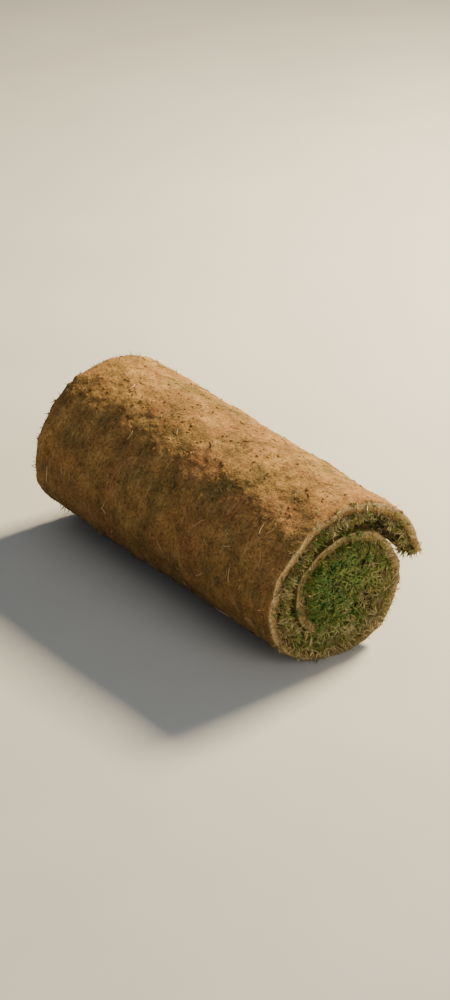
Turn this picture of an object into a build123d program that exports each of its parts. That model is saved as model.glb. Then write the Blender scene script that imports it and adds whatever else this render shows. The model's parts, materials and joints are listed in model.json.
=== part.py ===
from build123d import *
import math
import os

# A roll of turf, lying on its side.
# One strip of sod is wound up with its grass inwards and its soil outwards.
# It is wound tighter at its shown end, at +X, than at its far end, so it tapers a little.
# The roll's axis is X, Z is up, and the origin is on the floor under the middle.
# Lengths are in millimetres and angles in degrees.

# Driving dimensions of the strip and of the spiral that it is wound into
strip_width = 610.0
mat_thickness = 18.0
outer_radius = 168.0
shown_end_radius = 158.0
turn_pitch = 51.0
buried_end_radius = 40.0
bore_diameter = 24.0

# The free end, and the gap that it leaves over the turn below it
free_end_angle = 14.0
free_end_grass = 20.0
grass_setback = 2.0
gap_sweep = 66.0
gap_least = 1.5

# How the soft roll sags: flatter below and fuller at its sides, and a little over to one side
slump = 28.0
slump_lean = 9.0

# How far the grass stops short of the cut ends, and how finely the spiral is drawn
end_recess = 9.0
arc_sweep = 30.0

half_width = strip_width / 2.0
turned_sweep = 360.0 * (outer_radius - buried_end_radius) / turn_pitch
gap_end_sweep = 360.0 + gap_sweep
grass_depth = mat_thickness / 2.0
smallest_sweep = 0.01


def share_along(x):
    """0 at the far end, 1 at the shown end."""
    return x / strip_width + 0.5


def tightness(x):
    """The share of its full size that the spiral has this far along the roll, 1 at the far end."""
    return 1.0 + (shown_end_radius / outer_radius - 1.0) * share_along(x)


def soil_radius(sweep, x):
    """Bend radius of the soil face, this far round from the free end towards the centre."""
    even = outer_radius - turn_pitch * sweep / 360.0
    from_floor = math.radians(free_end_angle + sweep - 270.0 + slump_lean)
    flatter = slump * even / outer_radius
    return tightness(x) * (even + flatter * (math.cos(2.0 * from_floor) + math.cos(3.0 * from_floor)))


def spiral(depth, whole_sweep, x):
    """Draws tangent arcs inwards from the free end, this deep under the soil face."""
    start_radius = tightness(x) * outer_radius - depth
    point = Vector(start_radius, 0, 0).rotate(Axis.Z, free_end_angle)
    heading = Vector(0, 1, 0).rotate(Axis.Z, free_end_angle)
    arcs = []
    done = 0.0
    while done < whole_sweep - smallest_sweep:
        bend = soil_radius(done + arc_sweep / 2.0, x) - depth
        part_sweep = min(arc_sweep, whole_sweep - done)
        arcs.append(JernArc(start=point, tangent=heading, radius=bend, arc_size=part_sweep))
        point = arcs[-1] @ 1
        heading = arcs[-1] % 1
        done += part_sweep
    return arcs


def seat(x):
    """How far an end's section moves to stand on the floor with its middle over the axis."""
    with BuildLine() as outer_turn:
        spiral(0.0, gap_end_sweep, x)
    reach = outer_turn.line.bounding_box()
    return Vector(0, -(reach.min.X + reach.max.X) / 2.0, -reach.min.Y)


far_seat = seat(-half_width)
shown_seat = seat(half_width)


def section(x):
    """The plane of the section this far along the roll, between the seats of its two ends."""
    place = far_seat + (shown_seat - far_seat) * share_along(x)
    return Plane(origin=(x, place.Y, place.Z), x_dir=(0, 1, 0), z_dir=(1, 0, 0))


with BuildPart() as turf_roll:
    # The wound grass, from the middle of the mat inwards, with the gap under the free end.
    # It stops short of both cut ends and of the free end, so that the mat's edge stands out there.
    for x in (end_recess - half_width, half_width - end_recess):
        with BuildSketch(section(x)):
            with BuildLine():
                turns = spiral(grass_depth, gap_end_sweep, x)
                free_tip = turns[0] @ 0
                free_heading = turns[0] % 0
                gap_foot = turns[-1] @ 1
                gap_heading = turns[-1] % 1
                gap_roof = gap_foot + gap_heading.rotate(Axis.Z, -90.0) * (grass_depth + gap_least)
                grass_tip = (
                    free_tip
                    + free_heading.rotate(Axis.Z, 90.0) * (mat_thickness - grass_depth + free_end_grass)
                    + free_heading * grass_setback
                )
                Line(gap_foot, gap_roof)
                Spline(gap_roof, grass_tip, tangents=[gap_heading * -1.0, free_heading * -1.0])
                Line(grass_tip, free_tip)
            make_face()
    loft(ruled=True)

    # The mat of soil and roots runs the whole width, so its turns show on the ends.
    for x in (-half_width, half_width):
        with BuildSketch(section(x)):
            with BuildLine():
                outside = spiral(0.0, turned_sweep, x)
                inside = spiral(mat_thickness, turned_sweep, x)
                Line(outside[0] @ 0, inside[0] @ 0)
                Line(outside[-1] @ 1, inside[-1] @ 1)
            make_face()
    loft(ruled=True)

    # The hollow that the buried end is curled round.
    with BuildSketch(section(0.0)):
        with BuildLine(mode=Mode.PRIVATE):
            buried_end = spiral(mat_thickness, turned_sweep, 0.0)[-1]
        with Locations(buried_end.arc_center):
            Circle(bore_diameter / 2.0)
    extrude(amount=half_width, both=True, mode=Mode.SUBTRACT)

turf_roll.part.label = "turf_roll"

os.makedirs("parts", exist_ok=True)
export_step(turf_roll.part, "parts/turf_roll.step")
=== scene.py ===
# %% [markdown]
# # A roll of turf
#
# A turf farm slices its lawn into strips with a flat blade and winds each strip up where it lies. The grass
# ends up inside, pressed flat, and what the eye meets is the underside: a mat of sandy soil held by roots.
# The two ends show how it was wound, a spiral of cut mat with grass squeezed between its turns.
#
# In this lesson the mat is spun up turn by turn, roughened, tapered, and then planted with grass.

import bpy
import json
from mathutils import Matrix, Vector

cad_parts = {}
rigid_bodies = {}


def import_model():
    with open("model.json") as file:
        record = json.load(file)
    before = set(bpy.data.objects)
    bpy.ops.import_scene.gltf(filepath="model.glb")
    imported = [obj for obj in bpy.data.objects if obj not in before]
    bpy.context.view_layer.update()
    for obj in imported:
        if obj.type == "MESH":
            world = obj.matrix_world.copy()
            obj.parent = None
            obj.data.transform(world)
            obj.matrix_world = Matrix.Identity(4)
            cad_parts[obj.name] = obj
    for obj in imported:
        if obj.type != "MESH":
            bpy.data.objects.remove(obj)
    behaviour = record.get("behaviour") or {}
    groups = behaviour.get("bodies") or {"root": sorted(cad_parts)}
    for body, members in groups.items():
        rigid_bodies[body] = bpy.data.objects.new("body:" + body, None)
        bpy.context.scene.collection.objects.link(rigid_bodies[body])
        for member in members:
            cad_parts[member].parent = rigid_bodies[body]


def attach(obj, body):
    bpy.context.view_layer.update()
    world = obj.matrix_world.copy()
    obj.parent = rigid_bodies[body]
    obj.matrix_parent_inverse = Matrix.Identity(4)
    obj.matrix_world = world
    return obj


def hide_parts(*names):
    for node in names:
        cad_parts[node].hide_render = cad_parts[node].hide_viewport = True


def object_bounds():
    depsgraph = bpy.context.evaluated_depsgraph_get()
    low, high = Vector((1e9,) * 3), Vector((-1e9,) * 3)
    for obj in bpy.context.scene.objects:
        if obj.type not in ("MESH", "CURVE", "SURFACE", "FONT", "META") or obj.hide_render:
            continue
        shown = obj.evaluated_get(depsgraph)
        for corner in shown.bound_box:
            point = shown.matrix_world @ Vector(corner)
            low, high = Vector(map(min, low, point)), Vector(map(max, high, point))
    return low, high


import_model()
cad_low, cad_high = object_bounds()
cad_size = cad_high - cad_low
half_width = cad_size.x / 2.0
print("the solid roll measures", [round(side, 3) for side in cad_size])

# %% [markdown]
# ## Working habits
#
# An operator acts on whatever is selected, so each step starts by putting everything down and picking up the
# one thing it works on. Faces are chosen in code, by their place, because nobody is here to click on them.

# %% Pick up one thing at a time
import bpy
import numpy as np

bpy.context.tool_settings.mesh_select_mode = (False, False, True)


def pick_up(*things):
    """Selects these objects alone, with the first one active."""
    bpy.ops.object.select_all(action="DESELECT")
    for thing in things:
        thing.select_set(True)
    bpy.context.view_layer.objects.active = things[0]


def spots(piece):
    """The place of each vertex, one row each."""
    found = np.empty(len(piece.data.vertices) * 3, np.float32)
    piece.data.vertices.foreach_get("co", found)
    return found.reshape(-1, 3)


def marks(piece, name):
    """What a named attribute says at each vertex."""
    found = np.empty(len(piece.data.vertices), np.float32)
    piece.data.attributes[name].data.foreach_get("value", found)
    return found


def by_face(piece, values, pick=np.maximum):
    """The largest value among each face's corners, or with np.minimum the least."""
    corners = np.empty(len(piece.data.loops), np.int32)
    piece.data.loops.foreach_get("vertex_index", corners)
    starts = np.empty(len(piece.data.polygons), np.int32)
    piece.data.polygons.foreach_get("loop_start", starts)
    return pick.reduceat(values[corners], starts)


def open_faces(piece, chosen):
    """Goes into edit mode with only the chosen faces selected."""
    pick_up(piece)
    mesh = piece.data
    mesh.vertices.foreach_set("select", np.zeros(len(mesh.vertices), bool))
    mesh.edges.foreach_set("select", np.zeros(len(mesh.edges), bool))
    mesh.polygons.foreach_set("select", chosen)
    bpy.ops.object.mode_set(mode="EDIT")


def count_triangles(piece):
    """How many triangles a piece has once its faces are split."""
    return sum(len(face.vertices) - 2 for face in piece.data.polygons)


print("selection is by face:", tuple(bpy.context.tool_settings.mesh_select_mode))

# %% [markdown]
# ## The line that the strip follows
#
# A strip wound by hand doesn't follow a true spiral. It bends round one centre for a while, then round the
# next, a little closer in. So the line is a chain of arcs that each turn 30 degrees and run smoothly into the
# next. Under its own weight the roll flattens below and bulges low at its sides, and that is in the radii.
# A place on the strip is given by its sweep, the degrees that the strip has turned since its free end.

# %% Work out the chain of bends
import math
from mathutils import Matrix, Quaternion, Vector
from mathutils.kdtree import KDTree

outer_radius = 0.168
shown_end_radius = 0.158
turn_pitch = 0.051
mat_thickness = 0.018
buried_end_radius = 0.040
bore_diameter = 0.024
free_end_angle = 14.0
gap_sweep = 66.0
slump = 0.028
slump_lean = 9.0
arc_sweep = 30.0
smallest_sweep = 0.01
turned_sweep = 360.0 * (outer_radius - buried_end_radius) / turn_pitch


def soil_radius(sweep):
    """Bend radius of the soil face, this far round from the free end towards the centre."""
    even = outer_radius - turn_pitch * sweep / 360.0
    from_floor = math.radians(free_end_angle + sweep - 270.0 + slump_lean)
    flatter = slump * even / outer_radius
    return even + flatter * (math.cos(2.0 * from_floor) + math.cos(3.0 * from_floor))


def turned(point, centre, degrees):
    """A point turned about a line along X through a centre."""
    return centre + Matrix.Rotation(math.radians(degrees), 3, "X") @ (point - centre)


def chain_of_bends(tip):
    """The arcs of the soil face from the free end inwards: centre, radius, and the sweeps it runs between."""
    inward = -tip.normalized()
    found = []
    done = 0.0
    while done < turned_sweep - smallest_sweep:
        radius = soil_radius(done + arc_sweep / 2.0)
        centre = tip + inward * radius
        part = min(arc_sweep, turned_sweep - done)
        found.append((centre, radius, done, done + part))
        tip = turned(tip, centre, part)
        inward = turned(inward, Vector(), part)
        done += part
    return found


free_tip = turned(Vector((0.0, outer_radius, 0.0)), Vector(), free_end_angle)
inward_at_tip = -free_tip.normalized()
bends = chain_of_bends(free_tip)


def carried(point, sweep):
    """Where a point at the free end's cut lies after the strip has turned this far."""
    for centre, radius, start, end in bends:
        if sweep > start:
            point = turned(point, centre, min(sweep, end) - start)
    return point


print(len(bends), "bends, from", round(bends[0][1], 3), "to", round(bends[-1][1], 3), "m in radius")

# %% [markdown]
# The chain was drawn round the spiral's own centre. The solid roll stands with its lowest point on the floor
# and its middle over the origin, so the chain is measured and moved to the same seat. Its outline is the
# first turn and the start of the second, up to where the gap under the free end closes.

# %% Seat the chain where the solid roll stands
gap_end_sweep = int(360.0 + gap_sweep)
outer_turn = [carried(free_tip, sweep) for sweep in range(gap_end_sweep + 1)]
side_to_side = [point.y for point in outer_turn]
seat = Vector((
    0.0,
    (cad_low.y + cad_high.y) / 2.0 - (min(side_to_side) + max(side_to_side)) / 2.0,
    cad_low.z - min(point.z for point in outer_turn),
))
bends = [(centre + seat, radius, start, end) for centre, radius, start, end in bends]
free_tip = free_tip + seat
core = bends[-1][0]
print("seat moved by", [round(shift, 4) for shift in seat])

# %% [markdown]
# ## Winding a strip
#
# Spin copies the selected faces round an axis and joins the copies with walls, so spinning the strip's end
# face round one centre after another winds up the strip, closed all over. A mark stored on the first face is
# copied with it, and tells the materials later how deep a point lies, from 0 on the soil face to 1 on the
# grass side. With no window, Spin turns the other way, so its axis points to -X.
#
# Spin lists its new faces in an order that changes from run to run, and whatever is scattered on them later
# follows that order. So a wound strip is listed again by place, and the grass grows alike in every run.

# %% A function that lists a mesh by place
def store_marks(piece, name, values):
    """Stores one value at each vertex under a name."""
    piece.data.attributes.new(name, "FLOAT", "POINT").data.foreach_set("value", np.float32(values))


def relist(piece):
    """Lists the vertices by place and the faces by their vertices, with the depth mark kept."""
    places = spots(piece)
    order = np.lexsort(places.T)
    rank = np.argsort(order).tolist()
    faces = []
    for face in piece.data.polygons:
        corners = [rank[corner] for corner in face.vertices]
        first = corners.index(min(corners))
        faces.append(corners[first:] + corners[:first])
    depth = marks(piece, "depth")[order]
    piece.data.clear_geometry()
    piece.data.from_pydata(places[order], [], sorted(faces))
    store_marks(piece, "depth", depth)


# %% A function that winds a strip
def wind(name, first, last, outside, inside, width, across, layers, cell):
    """Spins a strip's end face round the roll from one sweep to another, between two depths."""
    bpy.ops.object.select_all(action="DESELECT")
    bpy.ops.mesh.primitive_grid_add(
        x_subdivisions=across,
        y_subdivisions=layers,
        size=1.0,
        location=carried(free_tip + inward_at_tip * (outside + inside) / 2.0, first),
        rotation=(math.radians(free_end_angle + first), 0.0, 0.0),
    )
    piece = bpy.context.object
    piece.name = name
    piece.scale = (width, inside - outside, 1.0)
    store_marks(piece, "depth", 0.5 - spots(piece)[:, 1])
    bpy.ops.object.transform_apply(location=True, rotation=True, scale=True)
    bpy.ops.object.mode_set(mode="EDIT")
    bpy.ops.mesh.select_all(action="SELECT")
    for centre, radius, start, end in bends:
        part = min(end, last) - max(start, first)
        if part > smallest_sweep:
            angle = math.radians(part)
            bpy.ops.mesh.spin(
                steps=max(1, round(angle * radius / cell)),
                angle=angle,
                center=centre,
                axis=(-1.0, 0.0, 0.0),
                use_auto_merge=False,
            )
    bpy.ops.mesh.select_all(action="SELECT")
    bpy.ops.mesh.normals_make_consistent(inside=False)
    bpy.ops.object.mode_set(mode="OBJECT")
    relist(piece)
    print(name, "is wound from", first, "to", round(last), "degrees, with", len(piece.data.polygons), "faces")
    return piece


# %% [markdown]
# ## The mat of soil and roots
#
# The mat starts as cells about 9 mm wide. Only its outer face, its two cut ends and its free end are plain to
# see, so only those are subdivided, to about 3 mm, which leaves the triangles where they show. Each vertex is
# also told how far along the strip it lies, in metres, from the nearest of many points on the strip's line.

# %% Wind the mat
mat_cell = 0.0092
soil_mat = wind(
    "soil_mat", 0.0, turned_sweep, 0.0, mat_thickness,
    cad_size.x, round(cad_size.x / mat_cell), 2, mat_cell,
)


def mark_along(piece, depths):
    """Stores how far along the strip each vertex lies, from the nearest of many points on its chain."""
    points_per_degree = 4
    path = [
        (number / points_per_degree, deep)
        for number in range(int(turned_sweep) * points_per_degree)
        for deep in depths
    ]
    nearest = KDTree(len(path))
    for number, (sweep, deep) in enumerate(path):
        nearest.insert(carried(free_tip + inward_at_tip * deep, sweep), number)
    nearest.balance()
    length_at = [0.0]
    for centre, radius, start, end in bends:
        length_at.append(length_at[-1] + math.radians(end - start) * radius)
    ends_at = [0.0] + [end for centre, radius, start, end in bends]
    lengths = np.interp([sweep for sweep, deep in path], ends_at, length_at)
    found = [lengths[nearest.find((0.0, spot[1], spot[2]))[1]] for spot in spots(piece)]
    store_marks(piece, "along", found)
    print(piece.name, "is", round(max(found), 3), "m long")


mark_along(soil_mat, (0.0, mat_thickness / 2.0, mat_thickness))

# %% Refine what shows
# The soil face has marks up to this depth, and the grass side from that depth
soil_depth = 0.01
grass_depth = 0.99
# The outer face shows this far along the strip, and the free end's cut is its first millimetre
last_seen = 1.14
tip_length = 0.001
# The cut ends are whatever lies this near to the full width
cut_margin = 0.0001

depth = marks(soil_mat, "depth")
along = marks(soil_mat, "along")
from_middle = np.abs(spots(soil_mat)[:, 0])
outer_face = (by_face(soil_mat, depth) < soil_depth) & (by_face(soil_mat, along) < last_seen)
cut_ends = by_face(soil_mat, from_middle, np.minimum) > half_width - cut_margin
free_end = by_face(soil_mat, along) < tip_length
open_faces(soil_mat, outer_face | cut_ends | free_end)
bpy.ops.mesh.subdivide(number_cuts=2)
bpy.ops.object.mode_set(mode="OBJECT")
print("soil_mat has", count_triangles(soil_mat), "triangles")

# %% [markdown]
# ## Roughening
#
# Soil has lumps within lumps. A Displace modifier moves a surface by a procedural texture of clouds, and one
# function takes the size of the marks and their height, both in metres. A vertex group holds a modifier to
# the places that it is meant for, such as the cut ends.

# %% Functions for relief
def weigh(piece, name, weights):
    """Adds a vertex group, 0 where a modifier leaves the piece alone and 1 where it works fully."""
    group = piece.vertex_groups.new(name=name)
    rounded = np.round(weights, 1)
    for level in np.unique(rounded[rounded > 0.0]):
        group.add(np.flatnonzero(rounded == level).tolist(), float(level), "REPLACE")


def roughen(piece, grain, height, finer, where="", direction="NORMAL", level=0.5):
    """Moves a surface by a cloudy texture with marks of this size and this many finer ones in them."""
    texture = bpy.data.textures.new(piece.name + "_relief", "CLOUDS")
    texture.noise_scale = grain
    texture.noise_depth = finer
    relief = piece.modifiers.new("relief", "DISPLACE")
    relief.texture = texture
    relief.texture_coords = "LOCAL"
    relief.direction = direction
    relief.strength = height
    relief.mid_level = level
    relief.vertex_group = where
    pick_up(piece)
    bpy.ops.object.modifier_apply(modifier=relief.name)


# %% [markdown]
# The grass at the ends covers the innermost turn of the mat, so that only the outer rings show there. That
# turn is therefore pulled in at both ends, gradually, and the grass that is planted later closes over it.

# %% Pull in the innermost turn
innermost_from = 1.32
pulled_over = 0.08
pulled_in = 0.024
along = marks(soil_mat, "along")
share = np.clip((along - innermost_from) / pulled_over, 0.0, 1.0)
narrower = spots(soil_mat)
narrower[:, 0] *= 1.0 - pulled_in / half_width * share
soil_mat.data.vertices.foreach_set("co", narrower.ravel())
print("the innermost turn is", 2.0 * pulled_in, "m narrower than the strip")

# %% [markdown]
# Six layers of relief follow, from broad to fine. The first two bend the whole mat, sideways too, because no
# strip is wound quite true. The next two tear the cut ends and the free end, where the blade left lumps
# hanging by their roots. The last two are the lumps and pits of the soil face, and they fade out over the
# first third of the mat's thickness.

# %% Give the mat its lumps, pits and ragged edges
end_band = 0.012
tip_band = 0.03
depth = marks(soil_mat, "depth")
from_middle = np.abs(spots(soil_mat)[:, 0])
weigh(soil_mat, "soil_face", 1.0 - np.clip(depth * 3.0, 0.0, 1.0))
weigh(soil_mat, "cut_ends", np.clip((from_middle - half_width + end_band) / end_band, 0.0, 1.0))
weigh(soil_mat, "free_end", np.clip(1.0 - along / tip_band, 0.0, 1.0))

roughen(soil_mat, grain=0.150, height=0.010, finer=2)
roughen(soil_mat, grain=0.110, height=0.008, finer=2, direction="X")
roughen(soil_mat, grain=0.030, height=0.010, finer=4, where="cut_ends", direction="X", level=0.6)
roughen(soil_mat, grain=0.050, height=0.026, finer=4, where="free_end", direction="Z", level=0.6)
roughen(soil_mat, grain=0.048, height=0.0065, finer=2, where="soil_face")
roughen(soil_mat, grain=0.013, height=0.0036, finer=4, where="soil_face")
print("soil_mat spans", np.round(spots(soil_mat).min(0), 3), np.round(spots(soil_mat).max(0), 3))

# %% [markdown]
# ## The thatch between the turns
#
# Behind the blades at the ends lies a packed mass of stems, dark partly by its own colour and partly by
# painted shade. It is wound like the mat, from overlapping bands and a plug in the middle, a little narrower
# than the strip. One band fills the turns, a thin one hangs under the free end, and a third fills the foot of
# the gap there. A voxel remesh melts them into one skin, and a drill takes out the hollow that the buried end
# is curled round.

# %% Wind and melt the thatch
end_recess = 0.015
thatch_width = cad_size.x - 2.0 * end_recess
thatch_cell = 0.012
thatch_across = 20
# All bands start inside the mat, and these are the depths that they reach
inside_mat = 0.010
turns_depth = turn_pitch + 0.004
tail_depth = mat_thickness + 0.007
gap_depth = mat_thickness + 0.022
# The sweeps that the bands run between
tail_from = 3.0
foot_from = 50.0
tail_to = 72.0
plug_from = 640.0
plug_radius = 0.075
voxel = 0.005
bands = [
    wind("thatch", first, last, inside_mat, reach, thatch_width, thatch_across, layers, thatch_cell)
    for first, last, reach, layers in (
        (gap_sweep, plug_from, turns_depth, 3),
        (tail_from, tail_to, tail_depth, 2),
        (foot_from, tail_to, gap_depth, 2),
    )
]


def add_rod(vertices, radius, length):
    """A cylinder along the roll, round the centre that the buried end is curled round."""
    bpy.ops.object.select_all(action="DESELECT")
    bpy.ops.mesh.primitive_cylinder_add(
        vertices=vertices,
        radius=radius,
        depth=length,
        location=core,
        rotation=(0.0, math.radians(90.0), 0.0),
    )
    return bpy.context.object


plug = add_rod(32, plug_radius, thatch_width)
bpy.ops.object.transform_apply(location=True, rotation=True, scale=True)
pick_up(*bands, plug)
bpy.ops.object.join()
thatch = bpy.context.object
melt = thatch.modifiers.new("melt", "REMESH")
melt.mode = "VOXEL"
melt.voxel_size = voxel
bpy.ops.object.modifier_apply(modifier=melt.name)
roughen(thatch, grain=0.020, height=0.012, finer=3)

drill = add_rod(24, bore_diameter / 2.0, cad_size.x)
bore = thatch.modifiers.new("bore", "BOOLEAN")
bore.operation = "DIFFERENCE"
bore.object = drill
pick_up(thatch)
bpy.ops.object.modifier_apply(modifier=bore.name)
bpy.data.objects.remove(drill)
print("thatch has", count_triangles(thatch), "triangles")

# %% [markdown]
# ## The taper
#
# Nobody winds a strip by hand with the same pull on both sides, and here the end that is shown came out 6%
# smaller. A lattice is a cage of points whose moves are passed on to everything inside it, so the same cage
# tapers the mat and the thatch alike. Its corners move straight towards the line under the roll's middle, and
# last, whatever lies below the floor is pressed flat on it.

# %% Taper the roll towards its shown end
cage_to_roll = 1.1
bpy.ops.object.select_all(action="DESELECT")
bpy.ops.object.add(type="LATTICE", location=(cad_low + cad_high) / 2.0)
cage = bpy.context.object
cage.scale = cad_size * cage_to_roll
cage.data.points_u = cage.data.points_v = cage.data.points_w = 2
for way in "uvw":
    setattr(cage.data, "interpolation_type_" + way, "KEY_LINEAR")
for point in cage.data.points:
    corner = cage.location + point.co * cage.scale
    smaller = 1.0 + (shown_end_radius / outer_radius - 1.0) * (corner.x / cad_size.x + 0.5)
    place = Vector((corner.x, corner.y * smaller, corner.z * smaller)) - cage.location
    point.co_deform = [place[way] / cage.scale[way] for way in range(3)]
for piece in (soil_mat, thatch):
    bend = piece.modifiers.new("taper", "LATTICE")
    bend.object = cage
    pick_up(piece)
    bpy.ops.object.modifier_apply(modifier=bend.name)
    pressed = spots(piece)
    pressed[:, 2] = np.maximum(pressed[:, 2], 0.0)
    piece.data.vertices.foreach_set("co", pressed.ravel())
    piece.data.update()
bpy.data.objects.remove(cage)
print("soil_mat now spans", np.round(spots(soil_mat).min(0), 3), np.round(spots(soil_mat).max(0), 3))

# %% [markdown]
# ## One blade, one tuft
#
# A blade of grass starts as a three-sided cone. One or two cuts divide it into bands, the bands are widened
# so that it stays broad to near its tip, it is pressed flat, and each band leans over further than the last.
# Eight blades with two cuts round one spot make a tuft, and seven shorter ones with one cut make a short
# tuft. A thousand copies of each are to come, so they have no more faces than that.

# %% Grow a tuft
import random

dice = random.Random(4)
tip_from = 0.99
least_width = 0.2
bend_power = 1.6
bend_share = 0.8


def shape_spike(name, radius, flat, length, cuts, curl, keep_width):
    """A three-sided cone cut into bands, pressed flat and bent over."""
    bpy.ops.object.select_all(action="DESELECT")
    bpy.ops.mesh.primitive_cone_add(
        vertices=3, radius1=radius, radius2=0.0, depth=length, location=(0.0, 0.0, length / 2.0),
    )
    spike = bpy.context.object
    spike.name = name
    bpy.ops.object.transform_apply(location=True)
    bpy.ops.object.mode_set(mode="EDIT")
    for share in cuts:
        bpy.ops.mesh.select_all(action="SELECT")
        bpy.ops.mesh.bisect(plane_co=(0.0, 0.0, length * share), plane_no=(0.0, 0.0, 1.0))
    bpy.ops.object.mode_set(mode="OBJECT")
    shape = spots(spike)
    rise = shape[:, 2] / length
    store_marks(spike, "rise", rise)
    wider = keep_width / np.maximum(1.0 - rise, least_width) + (1.0 - keep_width)
    shape[:, 0] *= np.where(rise < tip_from, wider, 1.0)
    shape[:, 1] *= flat
    bend = np.radians(curl) * rise ** bend_power
    shape[:, 1] += np.sin(bend) * shape[:, 2] * bend_share
    shape[:, 2] *= np.cos(bend * bend_share)
    spike.data.vertices.foreach_set("co", shape.ravel())
    return spike


def shape_tuft(name, blades, shortest, longest, splay, cuts):
    """A handful of blades that grow from one spot and lean all ways."""
    grown = []
    for number in range(blades):
        radius = dice.uniform(0.0011, 0.0017)
        length = dice.uniform(shortest, longest)
        curl = dice.uniform(15.0, 75.0)
        blade = shape_spike(name, radius, 0.35, length, cuts, curl, 0.7)
        around = 360.0 * (number + dice.uniform(-0.35, 0.35)) / blades
        lean = dice.uniform(4.0, splay)
        blade.rotation_euler = (math.radians(-lean), 0.0, math.radians(around))
        blade.location = (dice.uniform(-0.002, 0.002), dice.uniform(-0.002, 0.002), 0.0)
        grown.append(blade)
    pick_up(*grown)
    bpy.ops.object.join()
    bpy.ops.object.transform_apply(location=True, rotation=True, scale=True)
    return bpy.context.object


def gather(name, shapes):
    """Puts some patterns in a collection of their own."""
    drawer = bpy.data.collections.new(name)
    bpy.context.scene.collection.children.link(drawer)
    for shape in shapes:
        for owner in list(shape.users_collection):
            owner.objects.unlink(shape)
        drawer.objects.link(shape)
    return drawer


tuft_kinds = 4
tufts = gather("tufts", [
    shape_tuft("tuft", blades=8, shortest=0.018, longest=0.034, splay=34.0, cuts=(0.35, 0.7))
    for number in range(tuft_kinds)
])
short_tufts = gather("short_tufts", [
    shape_tuft("short_tuft", blades=7, shortest=0.009, longest=0.021, splay=52.0, cuts=(0.5,))
    for number in range(tuft_kinds)
])

# %% [markdown]
# ## Planting
#
# Geometry Nodes scatter points over a bed of faces and stand a pattern on each, turned and sized at random.
# A pattern leans partly with the bed's normal, partly outwards along the roll, and partly by chance. The
# copies are then made real, so that the finished piece is one ordinary mesh, and trimmed to a box a little
# larger than the solid roll. Each copy stores a random shade, which its material reads, so that no two tufts
# have quite the same colour.

# %% A function that adds any node
def add_node(tree, kind, settings=None, inputs=None, stops=None):
    """Adds one node. Each input is given a value, or another node's output to link from."""
    made = tree.nodes.new(kind)
    for name, value in (settings or {}).items():
        setattr(made, name, value)
    for name, value in (inputs or {}).items():
        if isinstance(value, bpy.types.NodeSocket):
            tree.links.new(value, made.inputs[name])
        else:
            made.inputs[name].default_value = value
    for number, (place, colour) in enumerate(stops or []):
        marks_on_ramp = made.color_ramp.elements
        stop = marks_on_ramp[number] if number < 2 else marks_on_ramp.new(place)
        stop.position = place
        stop.color = colour
    return made


# %% A function that plants a bed
above_floor = 0.0005
proud_ends = 0.012
proud_sides = 0.008
proud_top = 0.007
visual_low = Vector((cad_low.x - proud_ends, cad_low.y - proud_sides, above_floor))
visual_high = Vector((cad_high.x + proud_ends, cad_high.y + proud_sides, cad_high.z + proud_top))


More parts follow.
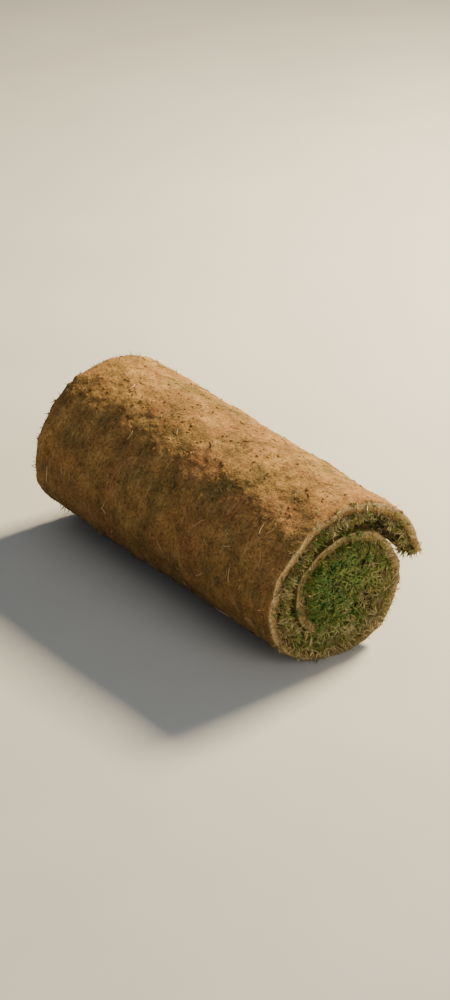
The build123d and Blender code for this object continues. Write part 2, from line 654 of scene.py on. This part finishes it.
def plant(name, bed, patterns, per_square_metre, seed, upright, outward, stray, sizes):
    """Stands copies of some patterns all over a bed of faces, and returns them as one mesh."""
    tree = bpy.data.node_groups.new(name, "GeometryNodeTree")
    tree.interface.new_socket("Bed", in_out="INPUT", socket_type="NodeSocketGeometry")
    tree.interface.new_socket("Planted", in_out="OUTPUT", socket_type="NodeSocketGeometry")
    start = add_node(tree, "NodeGroupInput")
    scattered = add_node(
        tree, "GeometryNodeDistributePointsOnFaces", {},
        {"Mesh": start.outputs[0], "Density": per_square_metre, "Seed": seed},
    )
    shade = add_node(tree, "FunctionNodeRandomValue", {"data_type": "FLOAT"}, {8: seed + 1})
    marked = add_node(
        tree, "GeometryNodeStoreNamedAttribute", {"data_type": "FLOAT", "domain": "POINT"},
        {"Geometry": scattered.outputs["Points"], "Name": "shade", "Value": shade.outputs[1]},
    )
    place = add_node(tree, "GeometryNodeInputPosition")
    parts = add_node(tree, "ShaderNodeSeparateXYZ", {}, {0: place.outputs[0]})
    side = add_node(tree, "ShaderNodeMath", {"operation": "SIGN"}, {0: parts.outputs[0]})
    reach = add_node(tree, "ShaderNodeMath", {"operation": "MULTIPLY"}, {0: side.outputs[0], 1: outward})
    push = add_node(tree, "ShaderNodeCombineXYZ", {}, {0: reach.outputs[0]})
    up = add_node(
        tree, "ShaderNodeVectorMath", {"operation": "SCALE"},
        {0: scattered.outputs["Normal"], "Scale": upright},
    )
    chance = add_node(
        tree, "FunctionNodeRandomValue", {"data_type": "FLOAT_VECTOR"},
        {0: (-stray, -stray, -stray), 1: (stray, stray, stray), 8: seed + 2},
    )
    leaning = add_node(
        tree, "ShaderNodeVectorMath", {"operation": "ADD"}, {0: up.outputs[0], 1: push.outputs[0]},
    )
    growing = add_node(
        tree, "ShaderNodeVectorMath", {"operation": "ADD"}, {0: leaning.outputs[0], 1: chance.outputs[0]},
    )
    aimed = add_node(
        tree, "FunctionNodeAlignRotationToVector", {"axis": "Z"}, {"Vector": growing.outputs[0]},
    )
    twist = add_node(
        tree, "FunctionNodeRandomValue", {"data_type": "FLOAT"}, {2: 0.0, 3: math.tau, 8: seed + 3},
    )
    twisted = add_node(
        tree, "FunctionNodeAxisAngleToRotation", {}, {"Axis": (0.0, 0.0, 1.0), "Angle": twist.outputs[1]},
    )
    stance = add_node(
        tree, "FunctionNodeRotateRotation", {"rotation_space": "LOCAL"},
        {"Rotation": aimed.outputs[0], "Rotate By": twisted.outputs[0]},
    )
    size = add_node(
        tree, "FunctionNodeRandomValue", {"data_type": "FLOAT"}, {2: sizes[0], 3: sizes[1], 8: seed + 4},
    )
    pattern = add_node(
        tree, "GeometryNodeCollectionInfo", {},
        {"Collection": patterns, "Separate Children": True, "Reset Children": True},
    )
    standing = add_node(
        tree, "GeometryNodeInstanceOnPoints", {},
        {
            "Points": marked.outputs[0],
            "Instance": pattern.outputs[0],
            "Pick Instance": True,
            "Rotation": stance.outputs[0],
            "Scale": size.outputs[1],
        },
    )
    real = add_node(tree, "GeometryNodeRealizeInstances", {}, {"Geometry": standing.outputs[0]})
    kept_up = add_node(
        tree, "ShaderNodeVectorMath", {"operation": "MAXIMUM"}, {0: place.outputs[0], 1: visual_low},
    )
    kept_in = add_node(
        tree, "ShaderNodeVectorMath", {"operation": "MINIMUM"}, {0: kept_up.outputs[0], 1: visual_high},
    )
    trimmed = add_node(
        tree, "GeometryNodeSetPosition", {}, {"Geometry": real.outputs[0], "Position": kept_in.outputs[0]},
    )
    add_node(tree, "NodeGroupOutput", {}, {0: trimmed.outputs[0]})
    growth = bed.modifiers.new("growth", "NODES")
    growth.node_group = tree
    pick_up(bed)
    bpy.ops.object.modifier_apply(modifier=growth.name)
    bed.name = name
    print(name, "has", count_triangles(bed), "triangles")
    return bed


def bed_of(piece, chosen):
    """A copy of a piece that keeps only the chosen faces."""
    pick_up(piece)
    bpy.ops.object.duplicate()
    bed = bpy.context.object
    open_faces(bed, ~chosen)
    bpy.ops.mesh.delete(type="FACE")
    bpy.ops.object.mode_set(mode="OBJECT")
    return bed


# %% [markdown]
# ## Grass at the ends and under the free end
#
# The grass grows from the inner face of every turn towards the middle of the roll. At the two ends it is
# free to splay outwards, and that is what hides the thatch. The gap under the free end stays open there, so
# long tufts start only beyond it, and short ones hang down from the free end itself.

# %% Plant the grass of the turns
planted_band = 0.030
gap_length = 0.200
tail_length = 0.110
depth = marks(soil_mat, "depth")
along = marks(soil_mat, "along")
sideways = spots(soil_mat)[:, 0]
grass_side = by_face(soil_mat, depth, np.minimum) > grass_depth
past_gap = grass_side & ~(by_face(soil_mat, along) < gap_length)
shown = past_gap & (by_face(soil_mat, sideways, np.minimum) > half_width - planted_band)
hidden = past_gap & (by_face(soil_mat, sideways) < planted_band - half_width)
tail = grass_side & (by_face(soil_mat, along) < tail_length)
shown_end_grass = plant(
    "shown_end_grass", bed_of(soil_mat, shown), tufts, per_square_metre=30000.0, seed=11,
    upright=1.0, outward=0.4, stray=0.45, sizes=(0.6, 1.0),
)
far_end_grass = plant(
    "far_end_grass", bed_of(soil_mat, hidden), tufts, per_square_metre=24000.0, seed=21,
    upright=1.0, outward=0.4, stray=0.45, sizes=(0.6, 1.0),
)
free_end_grass = plant(
    "free_end_grass", bed_of(soil_mat, tail), short_tufts, per_square_metre=11000.0, seed=31,
    upright=1.0, outward=0.0, stray=0.7, sizes=(0.6, 1.1),
)

# %% [markdown]
# The blades that were pressed hardest lie squashed in all directions on the ends of the thatch. They are
# short tufts that lean well outwards, and they fill the space between the longer ones.

# %% Plant the squashed grass
thatch_band = 0.010
thatch_ends = by_face(thatch, np.abs(spots(thatch)[:, 0]), np.minimum) > thatch_width / 2.0 - thatch_band
squashed_grass = plant(
    "squashed_grass", bed_of(thatch, thatch_ends), short_tufts, per_square_metre=17000.0, seed=76,
    upright=0.8, outward=0.6, stray=0.5, sizes=(0.6, 1.1),
)

# %% [markdown]
# ## Crumbs, straw, root hairs and loose strands
#
# Crumbs of soil cling to the outside and dry stems are pressed into it. Wherever the mat was cut, fine roots
# stick out and a few loose strands of grass hang on. Each is one small pattern with a few faces, planted like
# the grass.

# %% Shape and scatter crumbs
crumb_radius = 0.003
crumb_stray = 0.0011


def shape_crumb(seed):
    """A coarse ball knocked out of shape and pressed flatter."""
    bpy.ops.object.select_all(action="DESELECT")
    bpy.ops.mesh.primitive_ico_sphere_add(subdivisions=1, radius=crumb_radius)
    crumb = bpy.context.object
    bpy.ops.object.mode_set(mode="EDIT")
    bpy.ops.mesh.select_all(action="SELECT")
    bpy.ops.transform.vertex_random(offset=crumb_stray, seed=seed)
    bpy.ops.transform.resize(value=(1.0, 0.8, 0.55), center_override=(0.0, 0.0, 0.0))
    bpy.ops.object.mode_set(mode="OBJECT")
    return crumb


crumbs = gather("crumbs", [shape_crumb(seed) for seed in range(4)])
soil_side = (by_face(soil_mat, depth) < soil_depth) & (by_face(soil_mat, along) < last_seen)
clinging_crumbs = plant(
    "clinging_crumbs", bed_of(soil_mat, soil_side), crumbs, per_square_metre=2200.0, seed=46,
    upright=1.0, outward=0.0, stray=0.3, sizes=(0.35, 1.3),
)

# %% Shape and scatter straw
stem_radius = 0.0007
stem_lift = 0.0004
stem_droop = 3.0


def shape_stem(length, bends_by):
    """A thin three-sided rod in three stretches, each leaning away from the last."""
    bpy.ops.object.select_all(action="DESELECT")
    bpy.ops.mesh.primitive_cylinder_add(
        vertices=3, radius=stem_radius, depth=length, rotation=(math.radians(90.0), 0.0, 0.0),
    )
    stem = bpy.context.object
    stem.name = "stem"
    bpy.ops.object.transform_apply(location=True, rotation=True, scale=True)
    bpy.ops.object.mode_set(mode="EDIT")
    for share in (-0.2, 0.2):
        bpy.ops.mesh.select_all(action="SELECT")
        bpy.ops.mesh.bisect(plane_co=(0.0, length * share, 0.0), plane_no=(0.0, 1.0, 0.0))
    bpy.ops.object.mode_set(mode="OBJECT")
    shape = spots(stem)
    shape[:, 0] += bends_by * length * (shape[:, 1] / length) ** 2
    shape[:, 2] += stem_lift - stem_droop * shape[:, 1] ** 2
    stem.data.vertices.foreach_set("co", shape.ravel())
    return stem


stems = gather("stems", [shape_stem(0.022, 0.25), shape_stem(0.032, -0.2), shape_stem(0.015, 0.4)])
clinging_straw = plant(
    "clinging_straw", bed_of(soil_mat, soil_side), stems, per_square_metre=520.0, seed=51,
    upright=1.0, outward=0.0, stray=0.06, sizes=(0.5, 1.1),
)

# %% Shape and scatter root hairs and loose strands
hair_radius = 0.0006
hair_length = 0.010
crust_depth = 0.05
hairs = gather("hairs", [
    shape_spike("hair", hair_radius, 1.0, hair_length, (0.4, 0.7), curl, 0.3) for curl in (20.0, 60.0, 90.0)
])
at_ends = by_face(soil_mat, np.abs(sideways), np.minimum) > half_width - end_band
cut_face = at_ends & (by_face(soil_mat, depth) > crust_depth) & ~grass_side
cut_face |= by_face(soil_mat, along) < tip_length
root_hairs = plant(
    "root_hairs", bed_of(soil_mat, cut_face), hairs, per_square_metre=42000.0, seed=61,
    upright=1.0, outward=0.0, stray=0.8, sizes=(0.4, 1.2),
)
edge_strands = plant(
    "edge_strands", bed_of(soil_mat, cut_face), short_tufts, per_square_metre=4200.0, seed=86,
    upright=0.7, outward=0.0, stray=0.9, sizes=(0.5, 1.0),
)

# %% Clear the patterns away
for drawer in (tufts, short_tufts, crumbs, stems, hairs):
    for pattern in list(drawer.objects):
        bpy.data.objects.remove(pattern)

# %% [markdown]
# ## Materials
#
# Colours are written as on a colour chart, in sRGB hex, and one function turns them into the linear values
# that the shader wants. The size of every pattern is a real length, and a noise of scale 1 / length has marks
# about that long.

# %% Helpers for materials
def paint(chart):
    """A colour chart's hex value as the linear colour that a shader takes."""
    values = [int(chart[place:place + 2], 16) / 255.0 for place in (1, 3, 5)]
    return [v / 12.92 if v <= 0.04045 else ((v + 0.055) / 1.055) ** 2.4 for v in values] + [1.0]


def start_material(name):
    """A new material, its nodes, its shader, and where it is on the piece."""
    material = bpy.data.materials.new(name)
    material.use_nodes = True
    tree = material.node_tree
    place = add_node(tree, "ShaderNodeTexCoord").outputs["Object"]
    return material, tree, tree.nodes["Principled BSDF"], place


def finish_shader(tree, shader, colour, roughness, gloss=0.5):
    """Links the colour into a material's shader and sets how matt it is."""
    tree.links.new(colour, shader.inputs["Base Color"])
    shader.inputs["Roughness"].default_value = roughness
    shader.inputs["Specular IOR Level"].default_value = gloss


print("lit soil as the shader sees it:", [round(value, 3) for value in paint("#bf9363")])

# %% [markdown]
# ### Sandy soil held by roots
#
# Dry sandy loam is matt and grainy, and its tan is never even. Iron in the sand makes patches a rusty orange,
# damper ones are olive brown, and the pits between the crumbs are dark brown. Pale roots run through it, and
# since the strip was wound up they run round the roll, so their noise is stretched that way. A sand grain is
# half a millimetre wide and wouldn't show, so the grains are drawn 4 mm wide.

# %% Soil material: the soil face
soil, tree, shader, place = start_material("sandy_soil_mat")
patches = add_node(tree, "ShaderNodeTexNoise", {}, {"Vector": place, "Scale": 1 / 0.075, "Detail": 3.0})
blotches = add_node(
    tree, "ShaderNodeTexNoise", {}, {"Vector": place, "Scale": 1 / 0.036, "Detail": 6.0, "Roughness": 0.62},
)
grains = add_node(
    tree, "ShaderNodeTexNoise", {}, {"Vector": place, "Scale": 1 / 0.004, "Detail": 3.0, "Roughness": 0.6},
)
tan = add_node(
    tree, "ShaderNodeValToRGB", {}, {"Fac": blotches.outputs["Fac"]},
    [(0.30, paint("#7d5e37")), (0.46, paint("#a27a45")), (0.58, paint("#ba8e52")), (0.72, paint("#d0a566"))],
)
rusty_part = add_node(
    tree, "ShaderNodeMapRange", {},
    {"Value": patches.outputs["Fac"], "From Min": 0.5, "From Max": 0.66, "To Max": 0.6},
)
rusty = add_node(
    tree, "ShaderNodeMix", {"data_type": "RGBA"},
    {0: rusty_part.outputs[0], 6: tan.outputs["Color"], 7: paint("#b27a4e")},
)
moved = add_node(tree, "ShaderNodeMapping", {}, {"Vector": place, "Location": (1.3, 0.4, 2.1)})
damp_patches = add_node(
    tree, "ShaderNodeTexNoise", {}, {"Vector": moved.outputs[0], "Scale": 1 / 0.06, "Detail": 4.0},
)
damp_part = add_node(
    tree, "ShaderNodeMapRange", {},
    {"Value": damp_patches.outputs["Fac"], "From Min": 0.5, "From Max": 0.66, "To Max": 0.55},
)
damp = add_node(
    tree, "ShaderNodeMix", {"data_type": "RGBA"},
    {0: damp_part.outputs[0], 6: rusty.outputs[2], 7: paint("#74683a")},
)
grain_tone = add_node(
    tree, "ShaderNodeValToRGB", {}, {"Fac": grains.outputs["Fac"]},
    [(0.32, paint("#a8a29a")), (0.5, paint("#e8e6e2")), (0.68, paint("#ffffff"))],
)
grainy = add_node(
    tree, "ShaderNodeMix", {"data_type": "RGBA", "blend_type": "MULTIPLY"},
    {0: 1.0, 6: damp.outputs[2], 7: grain_tone.outputs["Color"]},
)
pits = add_node(
    tree, "ShaderNodeTexNoise", {},
    {"Vector": moved.outputs[0], "Scale": 1 / 0.014, "Detail": 3.0, "Roughness": 0.7},
)
pit_part = add_node(
    tree, "ShaderNodeMapRange", {},
    {"Value": pits.outputs["Fac"], "From Min": 0.58, "From Max": 0.72, "To Max": 0.6},
)
pitted = add_node(
    tree, "ShaderNodeMix", {"data_type": "RGBA"},
    {0: pit_part.outputs[0], 6: grainy.outputs[2], 7: paint("#5c4426")},
)
along_strip = add_node(tree, "ShaderNodeMapping", {}, {"Vector": place, "Scale": (7.0, 1.0, 1.0)})
roots = add_node(
    tree, "ShaderNodeTexNoise", {},
    {"Vector": along_strip.outputs[0], "Scale": 1 / 0.030, "Detail": 5.0, "Roughness": 0.6},
)
root_part = add_node(
    tree, "ShaderNodeMapRange", {},
    {"Value": roots.outputs["Fac"], "From Min": 0.55, "From Max": 0.70, "To Max": 0.32},
)
rooty = add_node(
    tree, "ShaderNodeMix", {"data_type": "RGBA"},
    {0: root_part.outputs[0], 6: pitted.outputs[2], 7: paint("#d6b782")},
)
print("the soil face takes", len(tree.nodes), "nodes")

# %% [markdown]
# On the cut ends the outer crust is pale buff, and towards the grass the mat turns dark olive with roots.
# That ramp is partly the mat's own colour and partly painted light: a painted highlight where the outer edge
# catches the light, and painted shade deeper in towards the grass. The mark for depth tells the two faces
# apart. The mark for the length along the strip turns the cut of the inner turns olive, and darkens the soil
# face of the second turn, partly because grass was pressed on it and partly as painted shade inside the roll.

# %% Soil material: the cut edge and the inner turns
depth_mark = add_node(tree, "ShaderNodeAttribute", {"attribute_name": "depth"})
# Pale buff at the crust to dark olive at the grass side: partly the mat's colour, partly a painted highlight
# on the outer edge and painted shade towards the grass
cut_tone_and_painted_light = add_node(
    tree, "ShaderNodeValToRGB", {}, {"Fac": depth_mark.outputs["Fac"]},
    [(0.05, paint("#e0c697")), (0.5, paint("#bf9b62")), (0.8, paint("#876a3c")), (1.0, paint("#4a4422"))],
)
along_mark = add_node(tree, "ShaderNodeAttribute", {"attribute_name": "along"})
inner_part = add_node(
    tree, "ShaderNodeMapRange", {},
    {"Value": along_mark.outputs["Fac"], "From Min": 0.75, "From Max": 1.15, "To Max": 0.55},
)
cut_olive = add_node(
    tree, "ShaderNodeMix", {"data_type": "RGBA"},
    {0: inner_part.outputs[0], 6: cut_tone_and_painted_light.outputs["Color"], 7: paint("#867c48")},
)
# Darker olive on the soil face past the first turn: partly grass pressed on it, partly painted shade inside
# the roll
pressed_and_shade_part = add_node(
    tree, "ShaderNodeMapRange", {},
    {"Value": along_mark.outputs["Fac"], "From Min": 0.95, "From Max": 1.04, "To Max": 0.75},
)
pressed_and_painted_shade = add_node(
    tree, "ShaderNodeMix", {"data_type": "RGBA"},
    {0: pressed_and_shade_part.outputs[0], 6: rooty.outputs[2], 7: paint("#4c4722")},
)
cut_part = add_node(
    tree, "ShaderNodeMapRange", {}, {"Value": depth_mark.outputs["Fac"], "From Min": 0.02, "From Max": 0.12},
)
cut_grainy = add_node(
    tree, "ShaderNodeMix", {"data_type": "RGBA", "blend_type": "MULTIPLY"},
    {0: 1.0, 6: cut_olive.outputs[2], 7: grain_tone.outputs["Color"]},
)
whole = add_node(
    tree, "ShaderNodeMix", {"data_type": "RGBA"},
    {0: cut_part.outputs[0], 6: pressed_and_painted_shade.outputs[2], 7: cut_grainy.outputs[2]},
)
print("with the cut edge it takes", len(tree.nodes), "nodes")

# %% [markdown]
# The soil is painted darker and greyer the lower it is, as painted shade near the floor. Last come two sizes
# of bump, for crumbs that are too small to be modelled and for the grain of the sand.

# %% Soil material: painted shade near the floor, and the bumps
# Painted shade: the soil is darkened and greyed from the floor up to this height
painted_shade_height = 0.185
height = add_node(tree, "ShaderNodeSeparateXYZ", {}, {0: place})
out_of_shade_part = add_node(tree, "ShaderNodeMapRange", {}, {"Value": height.outputs["Z"], "From Max": painted_shade_height})
painted_shade_tone = add_node(
    tree, "ShaderNodeValToRGB", {}, {"Fac": out_of_shade_part.outputs[0]},
    [(0.0, paint("#969c90")), (1.0, paint("#ffffff"))],
)
painted_shade_below = add_node(
    tree, "ShaderNodeMix", {"data_type": "RGBA", "blend_type": "MULTIPLY"},
    {0: 1.0, 6: whole.outputs[2], 7: painted_shade_tone.outputs["Color"]},
)
coarse_bump = add_node(
    tree, "ShaderNodeBump", {}, {"Height": blotches.outputs["Fac"], "Strength": 0.6, "Distance": 0.006},
)
fine_bump = add_node(
    tree, "ShaderNodeBump", {},
    {"Height": grains.outputs["Fac"], "Strength": 0.6, "Distance": 0.002, "Normal": coarse_bump.outputs[0]},
)
tree.links.new(fine_bump.outputs[0], shader.inputs["Normal"])
finish_shader(tree, shader, painted_shade_below.outputs[2], roughness=0.95, gloss=0.2)
print(soil.name, "has", len(tree.nodes), "nodes")

# %% [markdown]
# ### Grass blades
#
# Fresh blades are mid green with a satin skin. Pressed in a roll for hours they yellow in places, and the
# outer turns dry first. So each tuft has its own place on a ramp from deep green to straw, which shifts with
# the distance from the middle of the roll, and every blade is darker at its root than at its tip.

# %% Grass material
grass, tree, shader, place = start_material("grass_blade")
shade_mark = add_node(tree, "ShaderNodeAttribute", {"attribute_name": "shade"})
rise_mark = add_node(tree, "ShaderNodeAttribute", {"attribute_name": "rise"})
from_core = add_node(
    tree, "ShaderNodeVectorMath", {"operation": "SUBTRACT"}, {0: place, 1: (0.0, *core.yz)},
)
across_core = add_node(
    tree, "ShaderNodeVectorMath", {"operation": "MULTIPLY"}, {0: from_core.outputs[0], 1: (0.0, 1.0, 1.0)},
)
core_distance = add_node(tree, "ShaderNodeVectorMath", {"operation": "LENGTH"}, {0: across_core.outputs[0]})
dryness = add_node(
    tree, "ShaderNodeMapRange", {},
    {"Value": core_distance.outputs["Value"], "From Min": 0.035, "From Max": 0.115, "To Max": 0.5},
)
drier = add_node(
    tree, "ShaderNodeMath", {"operation": "MULTIPLY_ADD"},
    {0: shade_mark.outputs["Fac"], 1: 0.78, 2: dryness.outputs[0]},
)
green = add_node(
    tree, "ShaderNodeValToRGB", {}, {"Fac": drier.outputs[0]},
    [
        (0.0, paint("#44652a")), (0.4, paint("#6c8937")), (0.68, paint("#999a48")), (0.86, paint("#94804a")),
        (1.0, paint("#c9b47c")),
    ],
)
root_tone = add_node(
    tree, "ShaderNodeMapRange", {}, {"Value": rise_mark.outputs["Fac"], "To Min": 0.45, "To Max": 1.1},
)
blade_colour = add_node(
    tree, "ShaderNodeVectorMath", {"operation": "SCALE"},
    {0: green.outputs["Color"], "Scale": root_tone.outputs[0]},
)
finish_shader(tree, shader, blade_colour.outputs[0], roughness=0.55, gloss=0.3)
print(grass.name, "has", len(tree.nodes), "nodes")

# %% [markdown]
# ### Packed stems, and dry straw
#
# Between the blades the eye looks into a mass of old stems in deep shade. It is dull and dark olive, partly
# the stems' own colour and partly painted shade, with a mottle and a deep bump 12 mm wide, about a bundle of
# stems. Straw and roots have dried in the sun: they are pale and yellowish with a faint shine, and each has a
# shade of its own.

# %% Thatch, straw and root materials
packed_stems, tree, shader, place = start_material("packed_stems")
mottle = add_node(tree, "ShaderNodeTexNoise", {}, {"Vector": place, "Scale": 1 / 0.012, "Detail": 5.0})
# Dark olive mottle: partly the stems' colour, partly painted shade between the blades
stem_and_painted_shade_tone = add_node(
    tree, "ShaderNodeValToRGB", {}, {"Fac": mottle.outputs["Fac"]},
    [(0.35, paint("#2a2c12")), (0.5, paint("#43451d")), (0.65, paint("#625d32"))],
)
stem_bump = add_node(
    tree, "ShaderNodeBump", {}, {"Height": mottle.outputs["Fac"], "Strength": 1.0, "Distance": 0.006},
)
tree.links.new(stem_bump.outputs[0], shader.inputs["Normal"])
finish_shader(tree, shader, stem_and_painted_shade_tone.outputs["Color"], roughness=0.9)

dry_straw, tree, shader, place = start_material("dry_straw")
straw_mark = add_node(tree, "ShaderNodeAttribute", {"attribute_name": "shade"})
straw_tone = add_node(
    tree, "ShaderNodeValToRGB", {}, {"Fac": straw_mark.outputs["Fac"]},
    [(0.0, paint("#7d6138")), (0.5, paint("#a98a56")), (1.0, paint("#d2bb8a"))],
)
finish_shader(tree, shader, straw_tone.outputs["Color"], roughness=0.7)
print("finishes so far:", [material.name for material in (soil, grass, packed_stems, dry_straw)])

# %% [markdown]
# ## Putting it together
#
# The mat stands for the solid roll, which stays out of sight. Every piece hangs on the roll's one body and
# takes its material. The mat and the thatch are smoothed, and the small things keep their edges.

# %% Hang every piece on the roll
def dress(piece, material):
    """Gives a piece its material and slot, and hangs it on the roll's body."""
    piece.data.materials.clear()
    piece.data.materials.append(material)
    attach(piece, "root")


pick_up(soil_mat, thatch)
bpy.ops.object.shade_smooth()
dress(soil_mat, soil)
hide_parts("turf_roll")
dress(clinging_crumbs, soil)
dress(thatch, packed_stems)
for piece in (shown_end_grass, far_end_grass, free_end_grass, squashed_grass, edge_strands):
    dress(piece, grass)
dress(clinging_straw, dry_straw)
dress(root_hairs, dry_straw)

# %% [markdown]
# ## Floor, light and camera
#
# The floor is plain, pale and matt. A warm, fairly small key light stands high behind the roll on its right,
# as a low sun would, so the top is bright and the long side that faces the camera is in shade. A broad, soft
# and nearly white light faces the shown end, and a dim bluish surround stands for the sky.

# %% Floor
bpy.ops.object.select_all(action="DESELECT")
bpy.ops.mesh.primitive_circle_add(vertices=96, radius=14.0, fill_type="NGON", location=(0.0, 0.0, 0.0))
floor = bpy.context.object
floor.name = "studio_floor"
pale_floor, tree, shader, place = start_material("pale_floor")
floor_mottle = add_node(tree, "ShaderNodeTexNoise", {}, {"Vector": place, "Scale": 3.0})
floor_tone = add_node(
    tree, "ShaderNodeValToRGB", {}, {"Fac": floor_mottle.outputs["Fac"]},
    [(0.3, paint("#d2cfc9")), (0.7, paint("#d8d5cf"))],
)
finish_shader(tree, shader, floor_tone.outputs["Color"], roughness=0.85)
floor.data.materials.append(pale_floor)

# %% Lights
roll_middle = (cad_low + cad_high) / 2.0


def hang_light(name, place, width, power, tint):
    """A square soft light that looks at the roll."""
    bpy.ops.object.select_all(action="DESELECT")
    bpy.ops.object.light_add(type="AREA", location=place)
    light = bpy.context.object
    light.name = name
    light.data.size = width
    light.data.energy = power
    light.data.color = tint
    light.rotation_mode = "QUATERNION"
    light.rotation_quaternion = (roll_middle - light.location).to_track_quat("-Z", "Y")


hang_light("key_light", (-0.2, 2.7, 2.3), width=0.7, power=390.0, tint=(1.0, 0.85, 0.55))
hang_light("fill_light", (3.2, -0.3, 1.6), width=2.0, power=44.0, tint=(1.0, 0.97, 0.9))
world = bpy.data.worlds.new("studio")
world.use_nodes = True
surround = world.node_tree.nodes["Background"].inputs
surround["Color"].default_value = (0.78, 0.89, 1.0, 1.0)
surround["Strength"].default_value = 0.19
bpy.context.scene.world = world

# %% [markdown]
# The camera looks at the roll's middle from 51.3 degrees round from its long side, so that the shown end is
# nearer, and from 27.5 degrees up. It is tilted a little, as one that is held by hand is.

# %% Camera
camera_azimuth = math.radians(51.3)
camera_elevation = math.radians(27.5)
camera_tilt = math.radians(1.8)
camera_distance = 3.75
camera_lens = 84.0
towards_camera = Vector((
    math.sin(camera_azimuth) * math.cos(camera_elevation),
    -math.cos(camera_azimuth) * math.cos(camera_elevation),
    math.sin(camera_elevation),
))
bpy.ops.object.select_all(action="DESELECT")
bpy.ops.object.camera_add(location=roll_middle + towards_camera * camera_distance)
camera = bpy.context.object
camera.data.lens = camera_lens
camera.rotation_mode = "QUATERNION"
level = (-towards_camera).to_track_quat("-Z", "Y")
camera.rotation_quaternion = level @ Quaternion((0.0, 0.0, 1.0), camera_tilt)
bpy.context.scene.camera = camera
print("camera at", [round(side, 2) for side in camera.location])

# %% [markdown]
# ## The end

# %% Finish
import json
